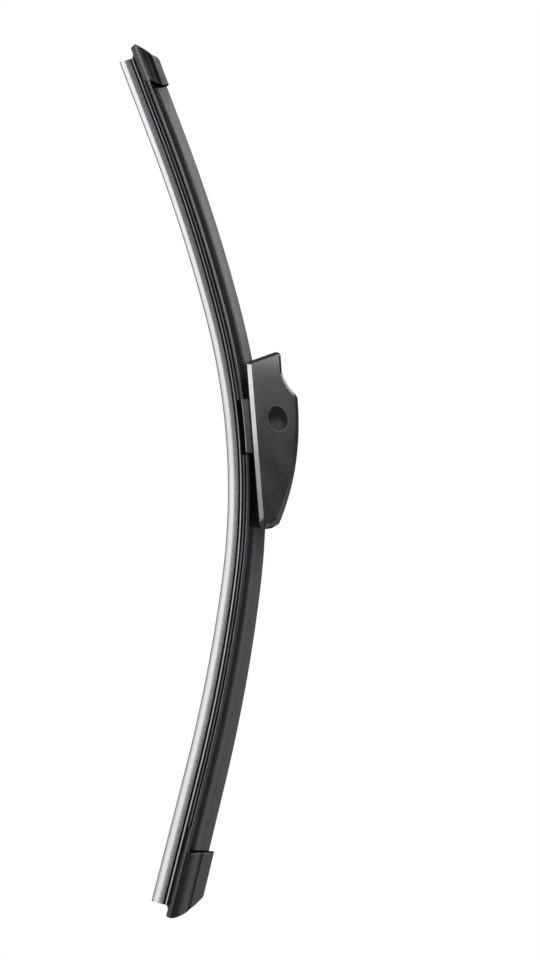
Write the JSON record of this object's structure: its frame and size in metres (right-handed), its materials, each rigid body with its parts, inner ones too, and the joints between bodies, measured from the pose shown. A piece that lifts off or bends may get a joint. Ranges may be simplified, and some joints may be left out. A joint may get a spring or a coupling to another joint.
{
  "type": "wiper blade",
  "caption": "Flat windscreen wiper blade: arched spring rails, rubber wiping edge, soft spoiler with end caps, and a swivelling hook adapter over a riveted pivot.",
  "frame": {"origin": "middle of the adapter's pivot axis, where the arm's hook seats", "axes": "+X along the blade towards its shorter end, +Z away from the glass, +Y across the blade along the pivot axis"},
  "size_m": [0.4346, 0.0218, 0.1064],
  "materials": {
    "adapter_plastic": "fine satin moulding texture",
    "base_plastic": "fine satin moulding texture",
    "cap_plastic": "satin",
    "spoiler_rubber": "satin extruded",
    "edge_rubber": "coated, cut lip edge",
    "rail_steel": "black coated spring steel",
    "pin_steel": "plain drawn steel"
  },
  "bodies": {
    "adapter": {"adapter_housing": "adapter_plastic"},
    "blade": {"connector_base": "base_plastic", "pivot_pin": "pin_steel", "spring_rail_left": "rail_steel", "spring_rail_right": "rail_steel", "wiping_rubber": "edge_rubber", "spoiler_upper": "spoiler_rubber", "spoiler_lower": "spoiler_rubber", "end_cap_upper": "cap_plastic", "end_cap_lower": "cap_plastic"}
  },
  "joints": [
    {"name": "adapter_swivel", "type": "hinge", "parent": "adapter", "child": "blade", "pos_m": [0, 0, 0], "axis": [0, 1, 0], "range_deg": [-10, 3]}
  ]
}
